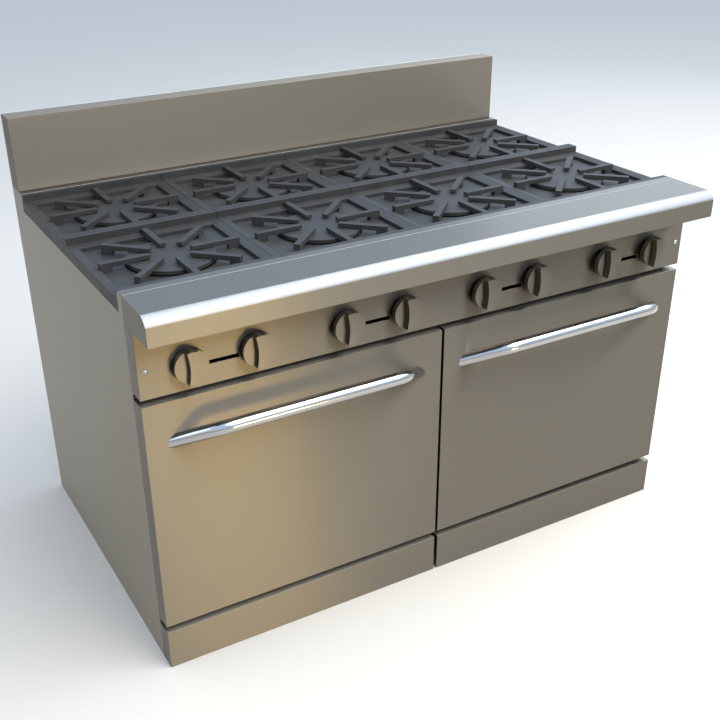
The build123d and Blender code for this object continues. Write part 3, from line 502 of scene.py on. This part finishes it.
def tubeOnCurve(tree, given, curve):
    # a round section swept along a curve, closed at both ends
    ring = addNode(tree, "GeometryNodeCurvePrimitiveCircle")
    sweep = addNode(tree, "GeometryNodeCurveToMesh", {"Fill Caps": True})
    tree.links.new(given.outputs["Sides"], ring.inputs["Resolution"])
    tree.links.new(given.outputs["Radius"], ring.inputs["Radius"])
    tree.links.new(curve, sweep.inputs["Curve"])
    tree.links.new(ring.outputs["Curve"], sweep.inputs["Profile Curve"])
    return sweep.outputs["Mesh"]


def roundedPath(tree, given):
    path = addNode(tree, "GeometryNodeMeshToCurve")
    bend = addNode(tree, "GeometryNodeFilletCurve", {"Limit Radius": True}, mode="POLY")
    tree.links.new(given.outputs["Geometry"], path.inputs["Mesh"])
    tree.links.new(path.outputs["Curve"], bend.inputs["Curve"])
    tree.links.new(given.outputs["Steps"], bend.inputs["Count"])
    tree.links.new(given.outputs["Bend"], bend.inputs["Radius"])
    return bend.outputs["Curve"]


tubeInputs = {"Radius": "Float", "Bend": "Float", "Steps": "Int", "Sides": "Int", "Finish": "Material"}
ropeInputs = {**tubeInputs, "Pitch": "Float", "Rib": "Float", "Lean": "Float"}
wireInputs = {"Count": "Int", "First": "Vector", "Step": "Vector", "Reach": "Vector", "Radius": "Float",
              "Sides": "Int", "Finish": "Material"}
studInputs = {"Piece": "Object", "Turn": "Rotation", "Finish": "Material"}
ribRound = {"Resolution": 10}
ribSection = {"Resolution": 5}


def makeTubeTree():
    tree, given, result = startTree("bentTube", tubeInputs)
    return endTree(tree, given, result, tubeOnCurve(tree, given, roundedPath(tree, given)))


def makeRibTree():
    # a core tube with raised rings at an even pitch, as on a braided rope
    tree, given, result = startTree("ribbedRope", ropeInputs)
    path = roundedPath(tree, given)
    core = tubeOnCurve(tree, given, path)
    spaced = addNode(tree, "GeometryNodeResampleCurve", mode="LENGTH")
    ring = addNode(tree, "GeometryNodeCurvePrimitiveCircle", ribRound)
    thread = addNode(tree, "GeometryNodeCurvePrimitiveCircle", ribSection)
    rib = addNode(tree, "GeometryNodeCurveToMesh")
    place = addNode(tree, "GeometryNodeInstanceOnPoints")
    along = addNode(tree, "GeometryNodeInputTangent")
    aim = addNode(tree, "FunctionNodeAlignRotationToVector", axis="Z")
    lean = addNode(tree, "FunctionNodeRotateRotation", rotation_space="LOCAL")
    leanTurn = addNode(tree, "ShaderNodeCombineXYZ")
    both = addNode(tree, "GeometryNodeJoinGeometry")
    links = tree.links
    links.new(path, spaced.inputs["Curve"])
    links.new(given.outputs["Pitch"], spaced.inputs["Length"])
    links.new(given.outputs["Radius"], ring.inputs["Radius"])
    links.new(given.outputs["Rib"], thread.inputs["Radius"])
    links.new(ring.outputs["Curve"], rib.inputs["Curve"])
    links.new(thread.outputs["Curve"], rib.inputs["Profile Curve"])
    links.new(spaced.outputs["Curve"], place.inputs["Points"])
    links.new(rib.outputs["Mesh"], place.inputs["Instance"])
    links.new(along.outputs["Tangent"], aim.inputs["Vector"])
    links.new(given.outputs["Lean"], leanTurn.inputs["X"])
    links.new(aim.outputs["Rotation"], lean.inputs["Rotation"])
    links.new(leanTurn.outputs[0], lean.inputs["Rotate By"])
    links.new(lean.outputs["Rotation"], place.inputs["Rotation"])
    links.new(core, both.inputs["Geometry"])
    links.new(place.outputs["Instances"], both.inputs["Geometry"])
    return endTree(tree, given, result, both.outputs["Geometry"])


def makeWireTree():
    # straight wires side by side: a row of starts, each with one wire
    tree, given, result = startTree("wireRow", wireInputs)
    row = addNode(tree, "GeometryNodeMeshLine", mode="OFFSET")
    wire = addNode(tree, "GeometryNodeCurvePrimitiveLine")
    place = addNode(tree, "GeometryNodeInstanceOnPoints")
    tree.links.new(given.outputs["Count"], row.inputs["Count"])
    tree.links.new(given.outputs["First"], row.inputs["Start Location"])
    tree.links.new(given.outputs["Step"], row.inputs["Offset"])
    tree.links.new(given.outputs["Reach"], wire.inputs["End"])
    tree.links.new(row.outputs["Mesh"], place.inputs["Points"])
    tree.links.new(tubeOnCurve(tree, given, wire.outputs["Curve"]), place.inputs["Instance"])
    return endTree(tree, given, result, place.outputs["Instances"])


def makeStudTree():
    # one small piece on every point
    tree, given, result = startTree("onPoints", studInputs)
    piece = addNode(tree, "GeometryNodeObjectInfo")
    place = addNode(tree, "GeometryNodeInstanceOnPoints")
    tree.links.new(given.outputs["Piece"], piece.inputs["Object"])
    tree.links.new(given.outputs["Geometry"], place.inputs["Points"])
    tree.links.new(piece.outputs["Geometry"], place.inputs["Instance"])
    tree.links.new(given.outputs["Turn"], place.inputs["Rotation"])
    return endTree(tree, given, result, place.outputs["Instances"])


trees = {"tube": makeTubeTree(), "rope": makeRibTree(), "wires": makeWireTree(), "studs": makeStudTree()}
print("node trees built:", len(trees))


def runTree(kind, points, values, closed=False):
    # the base mesh is a chain of points; the result is a plain mesh
    base = bpy.data.meshes.new("base")
    edges = [(i, i + 1) for i in range(len(points) - 1)]
    if closed:
        edges.append((len(points) - 1, 0))
    base.from_pydata([tuple(point) for point in points], edges, [])
    holder = bpy.data.objects.new("holder", base)
    scene.collection.objects.link(holder)
    shaper = holder.modifiers.new("shaper", "NODES")
    shaper.node_group = trees[kind]
    for item in trees[kind].interface.items_tree:
        if item.in_out == "INPUT" and item.name in values:
            shaper[item.identifier] = values[item.name]
    mesh = bpy.data.meshes.new_from_object(holder.evaluated_get(bpy.context.evaluated_depsgraph_get()))
    holder.modifiers.remove(shaper)
    bpy.data.objects.remove(holder)
    return mesh


def joinRings(work, rings):
    # faces between rings of points, and a cap at each end
    count = len(rings[0])
    for low, high in zip(rings, rings[1:]):
        for i in range(count):
            work.faces.new((low[i], low[(i + 1) % count], high[(i + 1) % count], high[i]))
    work.faces.new(list(reversed(rings[0])))
    work.faces.new(rings[-1])


def lathed(name, outline, count, place, out=(0, -1, 0), ripple=None):
    # outline: radius and height above the seat, turned about the way that the piece points
    turn = Vector((0, 0, 1)).rotation_difference(Vector(out)).to_matrix()
    work = bmesh.new()
    rings = []
    for radius, height in outline:
        ring = []
        for i in range(count):
            angle = 2 * math.pi * i / count
            grow = 1 + (ripple(angle, radius) if ripple else 0)
            spot = Vector((radius * grow * math.cos(angle), radius * grow * math.sin(angle), height))
            ring.append(work.verts.new(Vector(place) + turn @ spot))
        rings.append(ring)
    joinRings(work, rings)
    bmesh.ops.recalc_face_normals(work, faces=work.faces)
    return meshFrom(work, name)


def boxOf(node):
    low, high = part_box(node)
    return Vector(low), Vector(high)


# flare and rise: how far each leg runs outwards and down; beyond: the share of a leg inside the door
handle = {"radius": 12.7 * mm, "flare": 62.0 * mm, "rise": 33.0 * mm, "bend": 50.0 * mm, "beyond": 0.2,
          "footReach": 80.8 * mm, "steps": 14, "sides": 48, "faceGap": 0.1 * mm, "merge": 0.001 * mm,
          "sharpDeg": 30.0}


def makeHandle(side):
    # the bent tube runs a little way into the door and is then cut off at the door's face
    low, high = boxOf(f"door_handle_{side}")
    face = boxOf(f"door_outer_{side}")[0].y
    middle = (low.x + high.x) / 2
    barY, barZ = low.y + handle["radius"], high.z - handle["radius"]
    depth, rise, past = face - barY, handle["rise"], handle["beyond"]
    barHalf = (high.x - low.x) / 2 - handle["footReach"]
    endHalf, endZ = barHalf + handle["flare"] * (1 + past), barZ - rise * (1 + past)
    ends = [Vector((middle + way * endHalf, face + past * depth, endZ)) for way in (-1, 1)]
    corners = [Vector((middle + way * barHalf, barY, barZ)) for way in (-1, 1)]
    mesh = runTree("tube", (ends[0], corners[0], corners[1], ends[1]),
                   {"Radius": handle["radius"], "Bend": handle["bend"], "Steps": handle["steps"],
                    "Sides": handle["sides"], "Finish": finishes["polished"]})
    work = bmesh.new()
    work.from_mesh(mesh)
    bmesh.ops.remove_doubles(work, verts=work.verts, dist=handle["merge"])
    cut = bmesh.ops.bisect_plane(work, geom=work.verts[:] + work.edges[:] + work.faces[:], clear_outer=True,
                                 plane_co=(0, face - handle["faceGap"], 0), plane_no=(0, 1, 0))
    rims = [item for item in cut["geom_cut"] if isinstance(item, bmesh.types.BMEdge)]
    bmesh.ops.edgeloop_fill(work, edges=rims)
    bmesh.ops.recalc_face_normals(work, faces=work.faces)
    mesh = smoothed(meshFrom(work, "handle"), handle["sharpDeg"])
    newPiece(f"handle_tube_{side}", mesh, "polished", f"door_{side}", "polished", [f"door_handle_{side}"])


screw = {"radius": 4.8 * mm, "dome": 2.4 * mm, "flatten": 0.9, "rim": 0.25 * mm, "rings": 7, "sides": 32,
         "crossLong": 2.5 * mm, "crossWide": 0.55 * mm, "crossDeep": 1.1 * mm, "sharpDeg": 35.0}


def screwHead():
    # domed head with a cross recess, on its seat at the origin and pointing along +Z
    work = bmesh.new()
    count, rings = screw["sides"], screw["rings"]
    angles = [2 * math.pi * i / count for i in range(count)]
    ball = (screw["radius"] ** 2 + screw["dome"] ** 2) / (2 * screw["dome"])
    seat = [(screw["radius"] * math.cos(angle), screw["radius"] * math.sin(angle), 0) for angle in angles]
    shape = [[work.verts.new(spot) for spot in seat]]
    for step in range(rings):
        radius = screw["radius"] * (1 - step / rings)
        top = math.sqrt(ball ** 2 - radius ** 2) - ball + screw["dome"]
        ring = []
        for angle in angles:
            x, y = radius * math.cos(angle), radius * math.sin(angle)
            inCross = min(abs(x), abs(y)) < screw["crossWide"] and max(abs(x), abs(y)) < screw["crossLong"]
            sunk = screw["crossDeep"] if inCross else 0
            ring.append(work.verts.new((x, y, screw["rim"] + top * screw["flatten"] - sunk)))
        shape.append(ring)
    joinRings(work, shape)
    head = bpy.data.objects.new("screwHead", smoothed(meshFrom(work, "screwHead"), screw["sharpDeg"]))
    scene.collection.objects.link(head)
    return head


screwPattern = screwHead()


def putScrews(name, points, out, body, slot, replaces=()):
    turn = Vector((0, 0, 1)).rotation_difference(Vector(out)).to_euler()
    mesh = runTree("studs", points, {"Piece": screwPattern, "Turn": turn, "Finish": finishes["screwMetal"]})
    newPiece(name, mesh, "screwMetal", body, slot, replaces)


def panelScrews():
    low, high = boxOf("panel_screws")
    face = boxOf("control_panel")[0].y
    z = (low.z + high.z) / 2
    points = [(x, face, z) for x in (low.x + screw["radius"], high.x - screw["radius"])]
    body = bodyOf["panel_screws"]
    putScrews("control_panel_screws", points, (0, -1, 0), body, "polished", ["panel_screws"])


rearScrews = {"inset": 14.0 * mm, "across": 7, "rows": {"back_panel": 4, "backguard_rear_cover": 2}}


def rearFixings():
    # screws in even rows along the edges only
    inset, across = rearScrews["inset"], rearScrews["across"]
    for node, rows in rearScrews["rows"].items():
        low, high = boxOf(node)
        points = []
        for row in range(rows):
            z = low.z + inset + row * (high.z - low.z - 2 * inset) / (rows - 1)
            for column in range(across):
                if 0 < row < rows - 1 and 0 < column < across - 1:
                    continue
                x = low.x + inset + column * (high.x - low.x - 2 * inset) / (across - 1)
                points.append((x, high.y, z))
        putScrews(node + "_screws", points, (0, 1, 0), bodyOf[node], slotOf[node])


rack = {"rim": 3.0 * mm, "thin": 2.0 * mm, "cross": 1.8 * mm, "corner": 12.0 * mm, "cornerSteps": 8,
        "sides": 12, "wires": 17, "step": 0.8 * mm, "crossWires": 2, "firstCross": 0.3, "crossPitch": 0.4}


def makeRack(side):
    node = f"oven_rack_{side}"
    low, high = boxOf(node)
    z = (low.z + high.z) / 2
    inset = rack["rim"]
    x0, x1, y0, y1 = low.x + inset, high.x - inset, low.y + inset, high.y - inset
    wide, deep = x1 - x0, y1 - y0
    shared = {"Finish": finishes["wireChrome"], "Sides": rack["sides"]}
    rim = runTree("tube", [(x0, y0, z), (x1, y0, z), (x1, y1, z), (x0, y1, z)],
                  {"Radius": rack["rim"], "Bend": rack["corner"], "Steps": rack["cornerSteps"], **shared},
                  closed=True)
    gap = wide / (rack["wires"] + 1)
    start = [(0, 0, 0)]
    thin = runTree("wires", start, {"Count": rack["wires"], "First": (x0 + gap, y0, z + rack["step"]),
                                    "Step": (gap, 0, 0), "Reach": (0, deep, 0), "Radius": rack["thin"],
                                    **shared})
    firstY = y0 + rack["firstCross"] * deep
    cross = runTree("wires", start, {"Count": rack["crossWires"], "First": (x0, firstY, z - rack["step"]),
                                     "Step": (0, rack["crossPitch"] * deep, 0), "Reach": (wide, 0, 0),
                                     "Radius": rack["cross"], **shared})
    work = bmesh.new()
    for mesh in (rim, thin, cross):
        work.from_mesh(mesh)
    mesh = smoothed(meshFrom(work, "rack"))
    newPiece(f"rack_wires_{side}", mesh, "wireChrome", bodyOf[node], slotOf[node], [node])


# lean: how far each rib tips, in radians
seal = {"pitch": 4.2 * mm, "rib": 0.55 * mm, "lean": 0.5, "corner": 10.0 * mm, "cornerSteps": 8, "sides": 12,
        "sharpDeg": 60.0}


def makeSeal(side):
    node = f"door_gasket_{side}"
    low, high = boxOf(node)
    radius = (high.y - low.y) / 2 - seal["rib"]
    inset = radius + seal["rib"]
    y = (low.y + high.y) / 2
    corners = [(low.x + inset, y, low.z + inset), (high.x - inset, y, low.z + inset),
               (high.x - inset, y, high.z - inset), (low.x + inset, y, high.z - inset)]
    mesh = runTree("rope", corners, {"Radius": radius, "Bend": seal["corner"], "Steps": seal["cornerSteps"],
                                     "Sides": seal["sides"], "Pitch": seal["pitch"], "Rib": seal["rib"],
                                     "Lean": seal["lean"], "Finish": finishes["rope"]}, closed=True)
    mesh = smoothed(mesh, seal["sharpDeg"])
    newPiece(f"door_seal_rope_{side}", mesh, "rope", bodyOf[node], slotOf[node], [node])


# outlines: share of the dial's radius, and mm above its back or below its face
dial = {"backOutline": ((0.96, 0.0), (1.0, 0.6)),
        "faceOutline": ((1.0, 2.6), (0.95, 0.5), (0.90, 0.0), (0.4, 0.0)),
        "sides": 144, "knurls": 48, "knurlDeep": 0.012, "knurlFrom": 0.94, "sharpDeg": 30.0}
grip = {"halfWide": 3.0 * mm, "tall": 5.5 * mm, "longShare": 0.94, "sunk": 0.3 * mm, "back": 0.2 * mm,
        "round": 1.3 * mm, "steps": 3}
ticks = {"count": 11, "firstDeg": 60.0, "turnDeg": 24.0, "longEvery": 5, "long": 3.4 * mm, "short": 2.0 * mm,
         "wide": 0.6 * mm, "thick": 0.24 * mm, "rimShare": 0.86}


def dialDisc(radius, depth, place):
    def knurl(angle, ring):
        wave = (1 + math.cos(dial["knurls"] * angle)) / 2
        return -dial["knurlDeep"] * wave if ring > radius * dial["knurlFrom"] else 0

    outline = [(radius * share, up * mm) for share, up in dial["backOutline"]]
    outline += [(radius * share, depth - down * mm) for share, down in dial["faceOutline"]]
    return smoothed(lathed("dial", outline, dial["sides"], place, ripple=knurl), dial["sharpDeg"])


def dialGrip(radius, place):
    work = bmesh.new()
    size = (2 * grip["halfWide"], grip["tall"] + grip["sunk"], 2 * radius * grip["longShare"])
    bmesh.ops.create_cube(work, size=1.0, matrix=Matrix.LocRotScale(place, None, size))
    roundEdges(work, grip["round"], grip["steps"])
    return smoothed(meshFrom(work, "grip"))


def dialTicks(radius, place):
    work = bmesh.new()
    for number in range(ticks["count"]):
        angle = math.radians(ticks["firstDeg"] + number * ticks["turnDeg"])
        long = ticks["long"] if number % ticks["longEvery"] == 0 else ticks["short"]
        spot = Matrix.Translation(place) @ Matrix.Rotation(angle, 4, "Y")
        spot = spot @ Matrix.Translation((0, 0, radius * ticks["rimShare"] - long / 2))
        spot = spot @ Matrix.Diagonal((ticks["wide"], ticks["thick"], long, 1))
        bmesh.ops.create_cube(work, size=1.0, matrix=spot)
    return meshFrom(work, "ticks")


def makeDial(side):
    node = f"thermostat_dial_{side}"
    low, high = boxOf(node)
    middle = (low + high) / 2
    radius = (high.x - low.x) / 2
    face = low.y + grip["tall"]
    home = (bodyOf[node], slotOf[node])
    disc = dialDisc(radius, high.y - face, (middle.x, high.y, middle.z))
    newPiece(f"dial_disc_{side}", disc, "dialPlastic", *home, [node])
    bar = dialGrip(radius, (middle.x, low.y + grip["tall"] / 2 + grip["back"], middle.z))
    newPiece(f"dial_grip_{side}", bar, "dialPlastic", *home)
    newPiece(f"dial_ticks_{side}", dialTicks(radius, (middle.x, face, middle.z)), "dialPrint", *home)


thread = {"pitch": 1.8 * mm, "deep": 0.55 * mm, "length": 18.0 * mm, "crest": 0.3 * mm, "root": 0.05 * mm,
          "endGap": 0.2 * mm, "sides": 48, "sharpDeg": 20.0}


def makeInletThread():
    # ridges on the end of the gas pipe
    mount = next(item for item in frame["record"]["mounts"] if item["name"] == "gas_inlet")
    radius = mount["dims"]["r_mm"] * mm
    x, y, z = mount["pos_m"]
    end = y + mount["dims"]["length_mm"] * mm / 2
    outline = [(radius - thread["deep"], 0)]
    height = 0.0
    while height + thread["pitch"] < thread["length"]:
        outline.append((radius + thread["crest"], height + thread["pitch"] * 0.5))
        outline.append((radius - thread["root"], height + thread["pitch"]))
        height += thread["pitch"]
    place = (x, end - height - thread["endGap"], z)
    mesh = smoothed(lathed("thread", outline, thread["sides"], place, out=(0, 1, 0)), thread["sharpDeg"])
    newPiece("gas_inlet_thread", mesh, "brass", bodyOf["gas_manifold"], slotOf["gas_manifold"])


blanket = {"round": 5.0 * mm, "steps": 3, "sharpDeg": 80.0}


def makeBlanket():
    # soft, well rounded edges on the insulation
    mesh = skinOf("oven_insulation", blanket["round"], blanket["steps"], blanket["sharpDeg"])
    newPiece("oven_insulation_blanket", mesh, "blanket", bodyOf["oven_insulation"], slotOf["oven_insulation"],
             ["oven_insulation"])


panelScrews()
rearFixings()
makeBlanket()
makeInletThread()
for side in sides:
    makeHandle(side)
    makeRack(side)
    makeSeal(side)
    makeDial(side)
bpy.data.objects.remove(screwPattern)
print("detailed pieces made")
